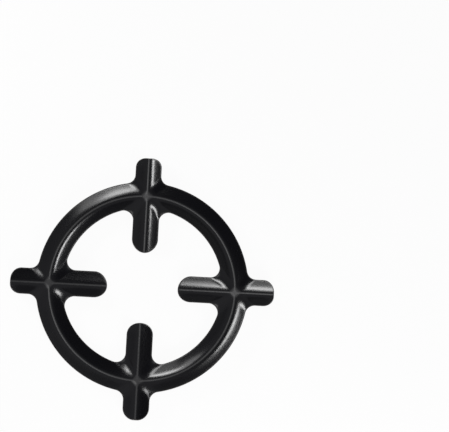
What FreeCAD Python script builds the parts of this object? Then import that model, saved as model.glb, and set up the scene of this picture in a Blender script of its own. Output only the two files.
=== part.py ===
"""Reducer ring for a gas hob: one pressed steel sheet, enamelled black.

A band of sheet with a V-shaped section, creased along its middle, runs round
a circle, and four arms of the same section cross it. Each arm reaches outwards
to lie on the pan support and inwards to carry a small pot. The hollow side
points up (+Z), and the crease lines rest in the plane z = 0. The origin is the
centre of the ring in that plane, and the arms lie along X and Y. All sizes are
in millimetres.
"""

import math
import os

import FreeCAD
import Part

# Plan: what a rule laid on the ring would read.
CREASE_DIAMETER = 101.8  # the crease line of the ring
BAND_WIDTH = 14.3  # the ring's band, rim to rim
ARM_WIDTH = 14.3  # each arm, rim to rim
OUTER_ARM = 14.45  # how far an arm stands out of the ring's outer rim
INNER_ARM = 24.35  # how far an arm reaches in from the ring's inner rim
OUTER_CORNER = 5.2  # outline fillet where an outer arm leaves the ring
INNER_CORNER = 5.1  # outline fillet where an inner arm leaves the ring
OUTER_TIP_ROUND = 6.3  # corner radius of an outer tip
INNER_TIP_ROUND = 7.1  # corner radius of an inner tip, almost a full round
TIP_FLAT = 0.05  # least half-length of the straight left between a tip's corners
CROSSING_CORNER = 2.1  # the same fillets down at the crease lines, where they cross

# Section: the channel that the press gives the sheet.
HEIGHT = 5.5  # from the table to the rims
SHEET = 1.0  # steel with its enamel
CREASE_SOFTNESS = 3.6  # how far from the crease line the flanks turn from flat to steep
RIM_FLAT = 0.25  # blunt top of the cut edge

# Building: how finely a flank is followed, and spare material for the cuts.
FLANK_LEVELS = 8
CREASE_FLAT = 0.25  # half-width of the lowest level curve, the line that touches the table
SPARE = 0.5
STEEL = 7.85e-3  # grams in a cubic millimetre

ARMS = 4
HALF_BAND = BAND_WIDTH / 2
OUTER_TIP = CREASE_DIAMETER / 2 + HALF_BAND + OUTER_ARM
INNER_TIP = CREASE_DIAMETER / 2 - HALF_BAND - INNER_ARM


def flank_steepness():
    """Slope that the flanks tend to, away from the crease.

    The cut edge is as high as the sheet is thick there, measured upright,
    less what its blunt top takes away, and ends at HEIGHT.
    """
    steepness = HEIGHT / HALF_BAND
    for _ in range(30):
        at_rim = steepness * HALF_BAND / math.hypot(HALF_BAND, CREASE_SOFTNESS)
        edge_height = SHEET * math.hypot(1, at_rim) - RIM_FLAT * at_rim
        steepness = (HEIGHT - edge_height) / (math.hypot(HALF_BAND, CREASE_SOFTNESS) - CREASE_SOFTNESS)
    return steepness


STEEPNESS = flank_steepness()


def flank_point(distance, depth):
    """Height and half-width of the section at a distance from the crease line.

    The lower face is a hyperbola: z = s (sqrt(d^2 + r^2) - r). The face at a
    depth inside the sheet is parallel to it and above it.
    """
    reach = math.hypot(distance, CREASE_SOFTNESS)
    slope = math.atan(STEEPNESS * distance / reach)
    z = STEEPNESS * (reach - CREASE_SOFTNESS)
    return z + depth * math.cos(slope), distance - depth * math.sin(slope)


def section_levels(depth):
    """Height and half-width pairs up one flank, from the crease to above the rims."""
    above = CREASE_SOFTNESS + (HEIGHT + SPARE) / STEEPNESS
    last = math.sqrt(above ** 2 - CREASE_SOFTNESS ** 2)
    levels = [(depth, flank_point(CREASE_FLAT, depth)[1])]
    for step in range(1, FLANK_LEVELS):
        share = step / (FLANK_LEVELS - 1)
        distance = CREASE_FLAT + (last - CREASE_FLAT) * share * (2 + share) / 3
        levels.append(flank_point(distance, depth))
    return levels


def point(x, y, z):
    return FreeCAD.Vector(x, y, z)


def line(start, end):
    return Part.LineSegment(start, end).toShape()


def arc(centre, start, end):
    """The shorter arc from start to end about centre."""
    way = (start - centre) + (end - centre)
    mid = centre + way.multiply((start - centre).Length / way.Length)
    return Part.Arc(start, mid, end).toShape()


def arm_edges(side, z, arm_half, reach, tip_round, root_x):
    """Sides and end of the arm along +X, with rounded or square tip corners."""
    back = reach - side * tip_round
    flat = arm_half - tip_round
    low_back, high_back = point(back, -arm_half, z), point(back, arm_half, z)
    low_tip, high_tip = point(reach, -flat, z), point(reach, flat, z)
    edges = [line(point(root_x, -arm_half, z), low_back)]
    if tip_round > 0:
        edges.append(arc(point(back, -flat, z), low_back, low_tip))
    edges.append(line(low_tip, high_tip))
    if tip_round > 0:
        edges.append(arc(point(back, flat, z), high_tip, high_back))
    edges.append(line(high_back, point(root_x, arm_half, z)))
    return edges


def star_wire(side, z, band_half, arm_half, corner, reach, tip_round):
    """Closed curve of the ring with its arms, at height z.

    side is +1 for the outer contour, whose arms point outwards, and -1 for
    the contour of the opening, whose arms point inwards. band_half and
    arm_half are distances from the crease lines, corner is the fillet between
    arm and ring, and reach the distance of the tip from the centre.
    """
    ring = CREASE_DIAMETER / 2 + side * band_half
    far = ring + side * corner
    root_y = arm_half + corner
    root_x = math.sqrt(far ** 2 - root_y ** 2)
    axis = point(0, 0, z)
    low, high = point(root_x, -root_y, z), point(root_x, root_y, z)
    ring_low, ring_high = axis + (low - axis) * (ring / far), axis + (high - axis) * (ring / far)
    quarter = [arc(low, ring_low, point(root_x, -arm_half, z))]
    quarter += arm_edges(side, z, arm_half, reach, tip_round, root_x)
    quarter.append(arc(high, point(root_x, arm_half, z), ring_high))
    next_low = FreeCAD.Rotation(point(0, 0, 1), 360 / ARMS).multVec(ring_low)
    quarter.append(arc(axis, ring_high, next_low))
    edges = []
    for arm in range(ARMS):
        for edge in quarter:
            turned = edge.copy()
            turned.rotate(point(0, 0, 0), point(0, 0, 1), 360 * arm / ARMS)
            edges.append(turned)
    return Part.Wire(edges)


def level_wire(side, z, half):
    """Level curve of the pressed form where the flank stands half from the crease.

    The fillet between arm and ring is a little tighter down at the creases
    than at the rim, so the shoulder between two flanks is a blunt cone. The
    arms are longer than the blank, to be cut.
    """
    share = half / HALF_BAND
    rim_corner = OUTER_CORNER if side > 0 else INNER_CORNER
    corner = CROSSING_CORNER + (rim_corner - CROSSING_CORNER) * share
    reach = OUTER_TIP + SPARE if side > 0 else INNER_TIP - SPARE
    return star_wire(side, z, half, ARM_WIDTH / 2 * share, corner, reach, 0)


def stack(side, depth):
    """Solid through the level curves of one side, ruled from each to the next."""
    wires = [level_wire(side, z, half) for z, half in section_levels(depth)]
    return Part.makeLoft(wires, True, True)


def pressed_form(depth):
    """Everything above one face of the sheet: the outer stack less the opening's."""
    return stack(1, depth).cut(stack(-1, depth))


def outline(side, corner, reach, tip_round):
    """Trimmed edge of the sheet, with its rounded tips, in a plane below the table."""
    tip = min(tip_round, ARM_WIDTH / 2 - TIP_FLAT)
    return star_wire(side, -SPARE, HALF_BAND, ARM_WIDTH / 2, corner, reach, tip)


def blank_prism():
    """What the trimming die leaves, as a prism that ends at the rims' blunt top."""
    outer = Part.Face(outline(1, OUTER_CORNER, OUTER_TIP, OUTER_TIP_ROUND))
    opening = Part.Face(outline(-1, INNER_CORNER, INNER_TIP, INNER_TIP_ROUND))
    up = point(0, 0, SPARE + HEIGHT)
    return outer.extrude(up).cut(opening.extrude(up))


def reducer_ring():
    """The sheet: what lies between its two faces, trimmed to the blank."""
    return pressed_form(0).cut(pressed_form(SHEET)).common(blank_prism())


def main():
    os.makedirs("parts", exist_ok=True)
    ring = reducer_ring()
    solid = ring.Solids[0]
    print("solids", len(ring.Solids), "valid", solid.isValid(), "closed", solid.isClosed())
    print("span %.2f mm, clear between inner tips %.2f mm" % (2 * OUTER_TIP, 2 * INNER_TIP))
    print("flanks tend to %.1f degrees" % math.degrees(math.atan(STEEPNESS)))
    print("volume %.0f mm3, steel of %.0f g" % (solid.Volume, solid.Volume * STEEL))
    solid.exportStep("parts/reducer_ring.step")


main()
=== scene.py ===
# %% [markdown]
# # A reducer ring for a gas hob
# The real ring is one steel sheet, cut to a wheel-like outline, pressed so that
# a crease runs along the middle of the band and of every arm, and coated with
# glossy black enamel. It lies on the pan support of a hob and carries a pot
# that is too small for it. Here its hollow side is up. This lesson draws its
# surface as two grids welded into one closed skin, gives it an enamel, and
# lights it so that the flanks and the creases show.

# %% Load the frame and keep its box
import math

import bmesh
import bpy
import numpy as np
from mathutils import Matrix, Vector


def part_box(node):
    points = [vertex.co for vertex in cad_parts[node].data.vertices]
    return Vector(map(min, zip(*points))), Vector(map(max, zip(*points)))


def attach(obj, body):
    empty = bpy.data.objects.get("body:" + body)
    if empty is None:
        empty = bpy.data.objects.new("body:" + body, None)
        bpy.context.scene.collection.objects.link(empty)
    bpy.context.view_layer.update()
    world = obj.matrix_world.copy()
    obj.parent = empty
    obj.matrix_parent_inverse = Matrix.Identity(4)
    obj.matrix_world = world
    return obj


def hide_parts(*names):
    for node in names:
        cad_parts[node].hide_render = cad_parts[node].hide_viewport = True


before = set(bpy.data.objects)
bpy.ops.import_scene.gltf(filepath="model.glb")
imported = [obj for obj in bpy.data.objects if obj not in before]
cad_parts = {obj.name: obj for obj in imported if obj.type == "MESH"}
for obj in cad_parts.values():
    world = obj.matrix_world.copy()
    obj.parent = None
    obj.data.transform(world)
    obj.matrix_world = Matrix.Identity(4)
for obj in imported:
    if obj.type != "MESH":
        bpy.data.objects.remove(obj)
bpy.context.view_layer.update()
ring_low, ring_high = [np.array(corner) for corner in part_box("reducer_ring")]
print("box of the ring, mm:", np.round((ring_high - ring_low) * 1000, 2))

# %% [markdown]
# ## The measures
# The frame gives the span. The other measures are what a rule laid on the ring
# reads: where the crease line of the band runs, how wide band and arms are, and
# how their outline is rounded. Everything below is worked out from these. Where
# a measure has two values, the first is for the side of the creases outside the
# crease circle (1) and the second for the side inside it (-1).

# %% Measures of the pressing
MM = 0.001
OUTER_TIP = ring_high[0]  # from the centre, as the frame has it
CREASE_RADIUS = 50.9 * MM  # the band's crease line
HALF_WIDTH = 7.15 * MM  # from a crease to the rim, on band and arms
INNER_TIP = 19.4 * MM  # from the centre
CORNER = {1: 5.2 * MM, -1: 5.1 * MM}  # rounding of the outline between arm and band
CROSSING_BEARING = math.radians(2.25)  # where the corners of both sides end on the band's crease
CROSSING_SINE = math.sin(CROSSING_BEARING)
CROSSING_CORNER = {  # rounding of the corners down at the creases, about 2 mm
    side: CREASE_RADIUS * CROSSING_SINE / (1 - side * CROSSING_SINE) for side in (1, -1)}
CORNER_SWELL = {1: 1.6 * MM, -1: 1.5 * MM}  # wider by this half way up
SHOULDER_SWELL = {1: 0.11, -1: 0.22}  # how full the shoulders are half way up, as a share
SHOULDER_SINK = {1: 0.06, -1: 0.09}  # how far their rims are brought down again, as a share
SHOULDER_LEAN = {1: 1.0, -1: 0.8}  # above 1 the fullness leans to the band, below 1 to the arm
TIP_ROUND = {1: 6.3 * MM, -1: 7.1 * MM}  # corners of the arms' tips
SHEET = 1.0 * MM  # steel with its enamel
STEEPNESS = 0.996  # slope that the flanks tend to
CREASE_SOFTNESS = 3.6 * MM  # how far from the crease they turn from flat to steep
EDGE_TOP = 0.42 * MM  # rounding of the cut edge, above
EDGE_UNDER = 0.25 * MM  # and below
print("tip to tip %.1f mm, between inner tips %.1f mm" % (2000 * OUTER_TIP, 2000 * INNER_TIP))

# %% [markdown]
# ## The section
# Cut across, the sheet is a V with a soft crease. Bent sheet has no straight
# flanks and no true arc: it turns quickly at the crease and then ever more
# slowly, which is what a hyperbola does. The upper face runs parallel to the
# lower one, a sheet's thickness above it.


# %% Section of the sheet
FACE_END = 1.3 * HALF_WIDTH  # past the rim, because the upper face is shifted towards the crease
FACE_SAMPLES = 3000


def lower_face(distance):
    """z = s (sqrt(d^2 + r^2) - r), with d from the crease line."""
    return STEEPNESS * (np.hypot(distance, CREASE_SOFTNESS) - CREASE_SOFTNESS)


def upper_face(distance):
    """Each point of the lower face moved SHEET along its normal, read off at d."""
    below = np.linspace(0, FACE_END, FACE_SAMPLES)
    slope = np.arctan(STEEPNESS * below / np.hypot(below, CREASE_SOFTNESS))
    return np.interp(distance, below - SHEET * np.sin(slope), lower_face(below) + SHEET * np.cos(slope))


print("flanks tend to %.1f degrees" % math.degrees(math.atan(STEEPNESS)))
print("cut edge from %.2f to %.2f mm" % (1000 * lower_face(HALF_WIDTH), 1000 * upper_face(HALF_WIDTH)))

# %% [markdown]
# ## The plan
# Every station on the outline has a point on the crease line that it belongs
# to. Between the two the share runs from 0, on the crease, to 1, on the rim.
# One eighth of the ring needs four kinds of station: round the tip of the arm,
# along the arm, through the corner between arm and band, and along the band.
# In the corner the rounding gets tighter near the crease, so the shoulder is a
# blunt cone. Down at the creases it leaves a small four-pointed star between
# the corners of both sides, where the creases cross and the sheet is flat.
# Shares from 0 to -1 fill that star. The side is 1 outside the crease circle
# and -1 inside it.


# %% Stations of an eighth of the ring
def tip_stations(side, share, lift, angle):
    """Fan from a point on the crease to the end of the arm: S + share (Q - S).

    Q runs along the straight end (lift 0 to 1) and then round the tip's
    corner, from angle 90 degrees at the end to 0 on the arm's side.
    """
    radius = TIP_ROUND[side]
    flat = HALF_WIDTH - radius
    back = (OUTER_TIP if side > 0 else INNER_TIP) - side * radius
    x = back + share * side * radius * np.sin(angle)
    y = share * (flat * lift + radius * np.cos(angle))
    return x, y, np.abs(y), side * np.sin(angle), np.cos(angle)


def corner_radius(side, share):
    """Rounding of the corner: a line from the star's to the rim's, plus swell 4 s (1 - s)."""
    swell = 4 * CORNER_SWELL[side] * share * (1 - share)
    return CROSSING_CORNER[side] + (CORNER[side] - CROSSING_CORNER[side]) * share + swell


def corner_centre(side, share):
    """Centre of the corner's arc at a share, a radius off both arm and band."""
    radius = corner_radius(side, share)
    off_arm = HALF_WIDTH * share + radius
    far = CREASE_RADIUS + side * off_arm
    return np.sqrt(far ** 2 - off_arm ** 2), off_arm


def arm_stations(side, share, along):
    """Side of the arm, from the tip's corner to where the corner arc starts."""
    back = (OUTER_TIP if side > 0 else INNER_TIP) - side * TIP_ROUND[side]
    x = back + along * (corner_centre(side, share)[0] - back)
    y = share * HALF_WIDTH + 0 * along
    return x, y, y, 0 * x, 1 + 0 * x


def corner_stations(side, share, sweep):
    """Arc between arm and band: centre - radius (cos n, sin n), n the outline's normal.

    Below share 0 the arc moves to the creases: its first half to the arm's,
    its second half to the band's, with the crossing between them. In the
    middle of the arc the sheet is as high as it would be 1 + w times as far
    from the crease, with w = swell 4 s (1 - s) - sink s^2, and w fades to both
    ends of the arc as sin^2 (pi sweep^lean). The swell makes the shoulders full,
    and the sink keeps their rims from standing above the others.
    """
    fill = np.maximum(-share, 0)
    share = np.maximum(share, 0)
    centre_x, centre_y = corner_centre(side, share)
    bearing = np.arctan2(centre_y, centre_x)
    last = bearing if side > 0 else math.pi + bearing
    normal = math.pi / 2 + sweep * (last - math.pi / 2)
    radius = corner_radius(side, share)
    bend = CROSSING_BEARING * np.maximum(2 * sweep - 1, 0)
    arm_part = np.maximum(1 - 2 * sweep, 0)
    crease_x = CREASE_RADIUS * np.cos(bend) + (centre_x - CREASE_RADIUS) * arm_part
    crease_y = CREASE_RADIUS * np.sin(bend)
    x = (1 - fill) * (centre_x - radius * np.cos(normal)) + fill * crease_x
    y = (1 - fill) * (centre_y - radius * np.sin(normal)) + fill * crease_y
    full = SHOULDER_SWELL[side] * 4 * share * (1 - share) - SHOULDER_SINK[side] * share ** 2
    fade = np.sin(math.pi * sweep ** SHOULDER_LEAN[side]) ** 2
    height_distance = share * HALF_WIDTH * (1 + full * fade)
    return x, y, height_distance, np.cos(normal), np.sin(normal)


def band_stations(side, share, along):
    """Circle of the band, from the corner's end to the 45 degree line."""
    start = np.arctan2(corner_centre(side, share)[1], corner_centre(side, share)[0])
    angle = start + along * (math.pi / 4 - start)
    radius = CREASE_RADIUS + side * share * HALF_WIDTH
    return (radius * np.cos(angle), radius * np.sin(angle), share * HALF_WIDTH + 0 * angle,
            side * np.cos(angle), side * np.sin(angle))


# %% One eighth as a grid
END_STEPS = 3
TIP_STEPS = 30
ARM_STEPS = 8
CORNER_STEPS = 26
BAND_STEPS = 34


def eighth(side, share):
    """x, y, distance from the crease and outline normal for rows of shares.

    share has one row for each ring of the section and one column per station,
    or one column that serves them all.
    """
    lift = np.concatenate([np.arange(END_STEPS) / END_STEPS, np.ones(TIP_STEPS)])
    turn = np.concatenate([np.zeros(END_STEPS), np.arange(TIP_STEPS) / TIP_STEPS])
    angle = math.pi / 2 * (1 - turn)
    runs = [np.arange(steps) / steps for steps in (ARM_STEPS, CORNER_STEPS)]
    band = np.linspace(0, 1, BAND_STEPS)
    counts = [len(lift), ARM_STEPS, CORNER_STEPS, BAND_STEPS]
    shares = np.broadcast_to(share, (len(share), sum(counts)))
    tip, arm, corner, circle = np.split(shares, np.cumsum(counts)[:-1], axis=1)
    tip, arm, circle = np.maximum(tip, 0), np.maximum(arm, 0), np.maximum(circle, 0)
    pieces = [tip_stations(side, tip, lift, angle), arm_stations(side, arm, runs[0]),
              corner_stations(side, corner, runs[1]), band_stations(side, circle, band)]
    full = [[np.broadcast_to(a, rows.shape) for a in piece]
            for piece, rows in zip(pieces, (tip, arm, corner, circle))]
    return [np.concatenate(columns, axis=1) for columns in zip(*full)]


print("stations in an eighth:", eighth(1, np.ones((1, 1)))[0].shape[1])

# %% [markdown]
# ## The sheet as a closed skin
# The rows of a grid go once round half of the section: up the upper face, over
# the rounded rim, and back under the sheet to the crease. One grid lies outside
# the crease circle and one inside it, and both are welded along all creases.
# Enamel draws back from a cut edge and leaves it round, so the edge follows a
# quarter circle above and a smaller one below. How far a row lies inside the
# outline is set in real length, so the rounding is equally wide where the
# stations fan out.


# %% Rows round the section, by their distance from the crease
STAR_SHARES = np.array([-1, -0.75, -0.5, -0.25])
UPPER_ROWS = np.array([0, 0.2, 0.4, 0.6, 0.8, 1.05, 1.3, 1.6, 1.9, 2.3, 2.8, 3.4, 4.1, 4.8, 5.5, 6.1]) * MM
UNDER_ROWS = np.array([6.4, 5.7, 4.9, 4.1, 3.3, 2.6, 2.0, 1.5, 1.1, 0.7, 0.35, 0]) * MM
TOP_ARC = np.radians(np.linspace(0, 90, 8))
UNDER_ARC = np.radians(np.linspace(90, 0, 5))


def outline_reach(side):
    """How fast each station nears the outline as its share grows, in metres."""
    step = 0.001
    x, y, _, normal_x, normal_y = eighth(side, np.array([[1 - step], [1.0]]))
    return ((x[1] - x[0]) * normal_x[1] + (y[1] - y[0]) * normal_y[1]) / step


def section_grid(side):
    """Points of an eighth, rows from the star round the rim to the star below.

    The top edge is z = upper(d) - R (1 - cos t) at an inset R (1 - sin t), and
    the bottom edge z = lower(d) + r (1 - cos t) at r (1 - sin t), t along the arcs.
    """
    reach = outline_reach(side)
    upper = np.concatenate([STAR_SHARES, UPPER_ROWS / HALF_WIDTH])[:, None] + 0 * reach
    top = 1 - EDGE_TOP * (1 - np.sin(TOP_ARC))[:, None] / reach
    under = 1 - EDGE_UNDER * (1 - np.sin(UNDER_ARC))[:, None] / reach
    lower = np.concatenate([UNDER_ROWS / HALF_WIDTH, STAR_SHARES[::-1]])[:, None] + 0 * reach
    faces = []
    for share, rounding, face in ((upper, np.zeros(len(upper)), upper_face),
                                  (top, EDGE_TOP * (1 - np.cos(TOP_ARC)), upper_face),
                                  (under, -EDGE_UNDER * (1 - np.cos(UNDER_ARC)), lower_face),
                                  (lower, np.zeros(len(lower)), lower_face)):
        x, y, distance, _, _ = eighth(side, share)
        z = face(distance) - rounding[:, None]
        inset = (1 - np.maximum(share, 0)) * reach
        faces.append(np.stack([x, y, z, inset], axis=-1))
    return np.concatenate(faces, axis=0)


def whole_turn(side):
    """The eighth, mirrored about the 45 degree line and turned to all four arms."""
    grid = section_grid(side)
    mirrored = grid[:, -2::-1].copy()
    mirrored[..., [0, 1]] = mirrored[..., [1, 0]]
    quarter = np.concatenate([grid, mirrored[:, :-1]], axis=1)
    turns = []
    for arm in range(4):
        cosine, sine = round(math.cos(arm * math.pi / 2)), round(math.sin(arm * math.pi / 2))
        turned = quarter.copy()
        turned[..., 0] = cosine * quarter[..., 0] - sine * quarter[..., 1]
        turned[..., 1] = sine * quarter[..., 0] + cosine * quarter[..., 1]
        turns.append(turned)
    return np.concatenate(turns, axis=1)


def grid_faces(rows, columns, first, flip):
    """Quads of a grid that closes on itself along its columns."""
    row, column = np.meshgrid(np.arange(rows - 1), np.arange(columns), indexing="ij")
    following = (column + 1) % columns
    quads = np.stack([row * columns + column, (row + 1) * columns + column,
                      (row + 1) * columns + following, row * columns + following], axis=-1)
    quads = quads.reshape(-1, 4) + first
    return quads[:, ::-1] if flip else quads


# %% Build the sheet
WELD_DISTANCE = 0.001 * MM


def build_sheet():
    """Both sides of the creases as one mesh, welded along them into a closed skin."""
    outside, inside = whole_turn(1), whole_turn(-1)
    data = np.concatenate([outside.reshape(-1, 4), inside.reshape(-1, 4)])
    quads = np.concatenate([grid_faces(*outside.shape[:2], 0, False),
                            grid_faces(*inside.shape[:2], outside[..., 0].size, True)])
    mesh = bpy.data.meshes.new("enamelled_ring")
    mesh.from_pydata(data[:, :3], [], quads)
    inset = mesh.attributes.new("inset", "FLOAT", "POINT")
    inset.data.foreach_set("value", data[:, 3].astype(np.float32))
    weld = bmesh.new()
    weld.from_mesh(mesh)
    bmesh.ops.remove_doubles(weld, verts=weld.verts, dist=WELD_DISTANCE)
    open_edges = sum(1 for edge in weld.edges if len(edge.link_faces) != 2)
    weld.to_mesh(mesh)
    weld.free()
    mesh.shade_smooth()
    print("vertices", len(mesh.vertices), "faces", len(mesh.polygons), "open edges", open_edges)
    return mesh


ring = bpy.data.objects.new("enamelled_ring", build_sheet())
bpy.context.collection.objects.link(ring)
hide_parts("reducer_ring")
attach(ring, "root")

# %% [markdown]
# ## The enamel
# Vitreous enamel is glass fused to steel, black all through and glossy. It is
# never quite even: it flows a little as it melts, which leaves faint waves, it
# thins and dulls at the cut edges, and it carries a trace of dust.


# %% Node helpers
def new_group(name, inputs, outputs):
    """An empty shader node group with the given sockets."""
    group = bpy.data.node_groups.new(name, "ShaderNodeTree")
    for label, kind, default in inputs:
        socket = group.interface.new_socket(label, in_out="INPUT", socket_type=kind)
        if default is not None:
            socket.default_value = default
    for label, kind in outputs:
        group.interface.new_socket(label, in_out="OUTPUT", socket_type=kind)
    return group, group.nodes.new("NodeGroupInput"), group.nodes.new("NodeGroupOutput")


def connect(tree, value, socket):
    """Link a socket, or set a number."""
    if isinstance(value, bpy.types.NodeSocket):
        tree.links.new(value, socket)
    else:
        socket.default_value = value


def calculate(tree, operation, *values, clamp=False):
    """A Math node; its inputs are sockets or numbers."""
    node = tree.nodes.new("ShaderNodeMath")
    node.operation = operation
    node.use_clamp = clamp
    for value, socket in zip(values, node.inputs):
        connect(tree, value, socket)
    return node.outputs[0]


def noise(tree, vector, scale, detail):
    """Noise from 0 to 1, scale in waves per metre."""
    node = tree.nodes.new("ShaderNodeTexNoise")
    connect(tree, vector, node.inputs["Vector"])
    connect(tree, scale, node.inputs["Scale"])
    node.inputs["Detail"].default_value = detail
    return node.outputs["Fac"]


def place_group(tree, group, **values):
    """A group node with its inputs linked or set by name."""
    node = tree.nodes.new("ShaderNodeGroup")
    node.node_tree = group
    for label, value in values.items():
        connect(tree, value, node.inputs[label])
    return node


# %% Effects
SWELL_WAVES = 110  # all waves are counted per metre
PEEL_WAVES = 900
WAVER_WAVES = 350
WAVER = 0.8  # how much the width of the duller rim varies
SPECK_WAVES = 2600
SPECK_LEVEL = 0.76  # noise above this, less Amount, is a speck
SPECK_EDGE = 9.0  # how sharply a speck ends
DRIFT_WAVES = 60
DRIFT = 0.16  # how much the dust varies from place to place


def flow_group():
    """Height left by molten enamel: Swell times broad waves plus Peel times fine ones."""
    group, inputs, outputs = new_group(
        "enamel_flow",
        [("Vector", "NodeSocketVector", None), ("Swell", "NodeSocketFloat", 1.0),
         ("Peel", "NodeSocketFloat", 0.1)],
        [("Height", "NodeSocketFloat")])
    point = inputs.outputs["Vector"]
    swell = calculate(group, "MULTIPLY", noise(group, point, SWELL_WAVES, 1), inputs.outputs["Swell"])
    peel = calculate(group, "MULTIPLY", noise(group, point, PEEL_WAVES, 2), inputs.outputs["Peel"])
    group.links.new(calculate(group, "ADD", swell, peel), outputs.inputs["Height"])
    return group


def rim_group():
    """Mask that is 1 on the cut edge and 0 about Width further in, with a wavering border."""
    group, inputs, outputs = new_group(
        "rim_mask",
        [("Vector", "NodeSocketVector", None), ("Inset", "NodeSocketFloat", 1.0),
         ("Width", "NodeSocketFloat", 0.001)],
        [("Mask", "NodeSocketFloat")])
    ripple = noise(group, inputs.outputs["Vector"], WAVER_WAVES, 3)
    waver = calculate(group, "MULTIPLY_ADD", ripple, WAVER, 1 - WAVER / 2)
    border = calculate(group, "MULTIPLY", inputs.outputs["Width"], waver)
    share = calculate(group, "DIVIDE", inputs.outputs["Inset"], border)
    group.links.new(calculate(group, "SUBTRACT", 1.0, share, clamp=True), outputs.inputs["Mask"])
    return group


def dust_group():
    """Mask of fine specks, more with a higher Amount, and thicker in some places than in others."""
    group, inputs, outputs = new_group(
        "fine_dust", [("Vector", "NodeSocketVector", None), ("Amount", "NodeSocketFloat", 0.1)],
        [("Mask", "NodeSocketFloat")])
    point = inputs.outputs["Vector"]
    specks = noise(group, point, SPECK_WAVES, 2)
    drift = calculate(group, "MULTIPLY_ADD", noise(group, point, DRIFT_WAVES, 2), DRIFT, -DRIFT / 2)
    level = calculate(group, "SUBTRACT", SPECK_LEVEL, inputs.outputs["Amount"])
    over = calculate(group, "SUBTRACT", calculate(group, "ADD", specks, drift), level)
    group.links.new(calculate(group, "MULTIPLY", over, SPECK_EDGE, clamp=True), outputs.inputs["Mask"])
    return group


# %% The black enamel
DEEP_BLACK = (0.0035, 0.0035, 0.0045, 1)
SOFT_BLACK = (0.006, 0.006, 0.0075, 1)
COLOUR_WAVES = 45
EDGE_BROWN = (0.02, 0.016, 0.014, 1)
EDGE_WIDTH = 0.9 * MM  # how far the duller enamel reaches in from the cut edge
EDGE_COVER = 0.7
EDGE_DULLNESS = 0.3
DUST_GREY = (0.09, 0.088, 0.085, 1)
DUST_AMOUNT = 0.03
DUST_COVER = 0.2
DUST_DULLNESS = 0.15
LEAST_ROUGHNESS = 0.175
MORE_ROUGHNESS = 0.06  # what the noise adds to it at most
ROUGHNESS_WAVES = 70
FLOW_HEIGHT = 0.06 * MM
FLOW_STRENGTH = 0.15


def blend_colours(tree, factor, first, second):
    """Mix of two colours by a factor."""
    node = tree.nodes.new("ShaderNodeMix")
    node.data_type = "RGBA"
    connect(tree, factor, node.inputs["Factor"])
    connect(tree, first, node.inputs[6])
    connect(tree, second, node.inputs[7])
    return node.outputs[2]


def enamel_material():
    """Black glass: gloss a little uneven, duller and browner on the cut edge."""
    material = bpy.data.materials.new("black_enamel")
    material.use_nodes = True
    tree = material.node_tree
    tree.nodes.clear()
    output = tree.nodes.new("ShaderNodeOutputMaterial")
    shader = tree.nodes.new("ShaderNodeBsdfPrincipled")
    tree.links.new(shader.outputs["BSDF"], output.inputs["Surface"])
    point = tree.nodes.new("ShaderNodeTexCoord").outputs["Object"]
    inset = tree.nodes.new("ShaderNodeAttribute")
    inset.attribute_name = "inset"

    from_rim = inset.outputs["Fac"]
    rim = place_group(tree, rim_group(), Vector=point, Inset=from_rim, Width=EDGE_WIDTH).outputs[0]
    dust = place_group(tree, dust_group(), Vector=point, Amount=DUST_AMOUNT).outputs[0]
    flow = place_group(tree, flow_group(), Vector=point, Swell=1.0, Peel=0.03).outputs[0]

    body = blend_colours(tree, noise(tree, point, COLOUR_WAVES, 2), DEEP_BLACK, SOFT_BLACK)
    edged = blend_colours(tree, calculate(tree, "MULTIPLY", rim, EDGE_COVER), body, EDGE_BROWN)
    dusty = blend_colours(tree, calculate(tree, "MULTIPLY", dust, DUST_COVER), edged, DUST_GREY)
    tree.links.new(dusty, shader.inputs["Base Color"])

    uneven = noise(tree, point, ROUGHNESS_WAVES, 2)
    dullness = calculate(tree, "MULTIPLY_ADD", uneven, MORE_ROUGHNESS, LEAST_ROUGHNESS)
    dullness = calculate(tree, "MULTIPLY_ADD", rim, EDGE_DULLNESS, dullness)
    dullness = calculate(tree, "MULTIPLY_ADD", dust, DUST_DULLNESS, dullness)
    tree.links.new(dullness, shader.inputs["Roughness"])
    shader.inputs["IOR"].default_value = 1.5

    bump = tree.nodes.new("ShaderNodeBump")
    bump.inputs["Strength"].default_value = FLOW_STRENGTH
    bump.inputs["Distance"].default_value = FLOW_HEIGHT
    tree.links.new(flow, bump.inputs["Height"])
    tree.links.new(bump.outputs["Normal"], shader.inputs["Normal"])
    return material


ring.data.materials.append(enamel_material())
print("nodes in the enamel:", len(ring.data.materials[0].node_tree.nodes))

# %% [markdown]
# ## The table
# The ring lies on a plain white table. A table that is only lit would need more
# light than the black enamel can take, so most of what the camera sees of it is
# its own glow. The rest is lit, and keeps a faint shadow under the ring.


# %% Floor
FLOOR_WHITE = (0.8, 0.8, 0.8, 1)
FLOOR_GLOW = 0.95  # share of the camera's view of the floor that is its glow
FLOOR_SIZE = 3.0
FLOOR_DROP = 0.02 * MM  # keeps the table clear of the resting creases


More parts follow.
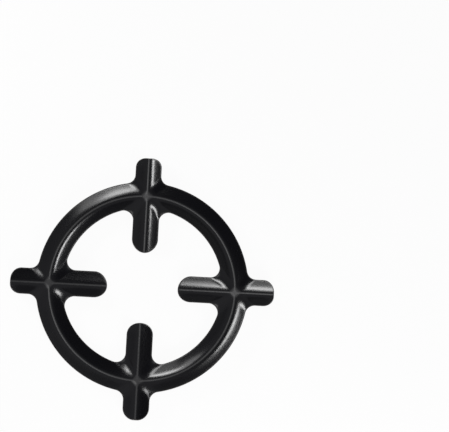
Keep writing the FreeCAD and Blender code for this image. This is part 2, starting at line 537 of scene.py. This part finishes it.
def floor_material():
    """White table: what the camera sees of it is mostly its own glow, so shadows stay faint."""
    material = bpy.data.materials.new("white_table")
    material.use_nodes = True
    tree = material.node_tree
    tree.nodes.clear()
    output = tree.nodes.new("ShaderNodeOutputMaterial")
    diffuse = tree.nodes.new("ShaderNodeBsdfDiffuse")
    diffuse.inputs["Color"].default_value = FLOOR_WHITE
    glow = tree.nodes.new("ShaderNodeEmission")
    glow.inputs["Strength"].default_value = 1.0
    path = tree.nodes.new("ShaderNodeLightPath")
    seen = calculate(tree, "MAXIMUM", path.outputs["Is Camera Ray"], path.outputs["Is Glossy Ray"])
    seen = calculate(tree, "MAXIMUM", seen, path.outputs["Is Transmission Ray"])
    mix = tree.nodes.new("ShaderNodeMixShader")
    tree.links.new(calculate(tree, "MULTIPLY", seen, FLOOR_GLOW), mix.inputs["Fac"])
    tree.links.new(diffuse.outputs[0], mix.inputs[1])
    tree.links.new(glow.outputs[0], mix.inputs[2])
    tree.links.new(mix.outputs[0], output.inputs["Surface"])
    return material


def build_floor():
    """A square far larger than the view."""
    mesh = bpy.data.meshes.new("table")
    ways = ((-1, -1), (1, -1), (1, 1), (-1, 1))
    corners = [(x * FLOOR_SIZE, y * FLOOR_SIZE, -FLOOR_DROP) for x, y in ways]
    mesh.from_pydata(corners, [], [(0, 1, 2, 3)])
    mesh.materials.append(floor_material())
    table = bpy.data.objects.new("table", mesh)
    bpy.context.collection.objects.link(table)


build_floor()
print("table %.0f m wide" % (2 * FLOOR_SIZE))

# %% [markdown]
# ## The camera
# It looks down on the ring from a metre away and a little in front. So the crease
# lines, which lie lower than the rims, are shifted towards the camera, and the
# arm in front appears a little longer than the one at the back.

# %% Camera
CAMERA_PLACE = (3.9 * MM, -125.8 * MM, 1000 * MM)
CAMERA_TURN = (9.43, -2.70, 2.67)  # degrees about X, Y and Z
FOCAL_PIXELS = 1831
PHOTO_WIDTH = 449  # in pixels


def build_camera():
    """From in front and above, with the ring in the lower left of the view."""
    lens = bpy.data.cameras.new("camera")
    lens.sensor_fit = "HORIZONTAL"
    lens.angle = 2 * math.atan(PHOTO_WIDTH / 2 / FOCAL_PIXELS)
    lens.clip_start = 0.01
    camera = bpy.data.objects.new("camera", lens)
    camera.location = CAMERA_PLACE
    camera.rotation_euler = [math.radians(angle) for angle in CAMERA_TURN]
    bpy.context.collection.objects.link(camera)
    bpy.context.scene.camera = camera
    print("view %.1f degrees wide" % math.degrees(lens.angle))


build_camera()

# %% [markdown]
# ## The light
# Polished black shows little but reflections, and each flank is a long concave
# mirror. What it shows here is a cluster of soft boxes low in front of the ring,
# brightest in its middle, and a wide one at the back left. A dim panel above
# draws the thin bright line along the creases. The room itself glows faintly
# from the back right, which parts the dark flanks from the black ones.


# %% Lamps
def soft_box(name, heading, zenith, distance, width, height, radiance):
    """Lamp that faces the ring from a heading and a zenith angle in degrees.

    Distance, width and height are in metres. Power = radiance x pi x area, so
    a wider box is not a dimmer one.
    """
    heading, zenith = math.radians(heading), math.radians(zenith)
    light = bpy.data.lights.new(name, "AREA")
    light.shape = "ELLIPSE"
    light.size, light.size_y = width, height
    light.energy = radiance * math.pi * math.pi / 4 * width * height
    lamp = bpy.data.objects.new(name, light)
    lamp.location = (distance * math.sin(zenith) * math.cos(heading),
                     distance * math.sin(zenith) * math.sin(heading), distance * math.cos(zenith))
    lamp.rotation_euler = (zenith, 0, heading + math.pi / 2)
    bpy.context.collection.objects.link(lamp)


soft_box("front_box", 290, 59, 0.38, 0.13, 0.10, 15.0)
soft_box("front_low_box", 289, 76, 0.38, 0.16, 0.09, 1.5)
soft_box("front_left_box", 277, 64, 0.38, 0.08, 0.08, 8.5)
soft_box("front_upper_box", 298, 47, 0.38, 0.10, 0.09, 4.5)
soft_box("front_right_glow", 309, 62, 0.38, 0.12, 0.15, 3.0)
soft_box("back_left_box", 150, 65, 0.38, 0.19, 0.07, 20.0)
soft_box("back_left_glow", 130, 66, 0.38, 0.08, 0.10, 1.5)
soft_box("ceiling", 60, 8, 1.20, 0.85, 0.85, 0.75)
soft_box("ceiling_right", 55, 15, 1.00, 0.30, 0.30, 2.0)

# %% World
ROOM_WHITE = (0.96, 0.96, 1.0, 1)
LIT_SIDE = (0.55, 0.65, 0.5)  # towards the brighter part of the room
GLOW_SLOPE = 0.26  # strength gained along LIT_SIDE
GLOW_LEVEL = 0.09  # strength across it
GLOW_LEAST = 0.02
world = bpy.data.worlds.new("studio")
world.use_nodes = True
background = world.node_tree.nodes["Background"]
background.inputs["Color"].default_value = ROOM_WHITE
lit_side = world.node_tree.nodes.new("ShaderNodeVectorMath")
lit_side.operation = "DOT_PRODUCT"
lit_side.inputs[1].default_value = LIT_SIDE
view_way = world.node_tree.nodes.new("ShaderNodeTexCoord").outputs["Generated"]
world.node_tree.links.new(view_way, lit_side.inputs[0])
glow = calculate(world.node_tree, "MULTIPLY_ADD", lit_side.outputs["Value"], GLOW_SLOPE, GLOW_LEVEL)
glow = calculate(world.node_tree, "MAXIMUM", glow, GLOW_LEAST)
world.node_tree.links.new(glow, background.inputs["Strength"])
bpy.context.scene.world = world
bpy.context.scene.view_settings.view_transform = "Standard"
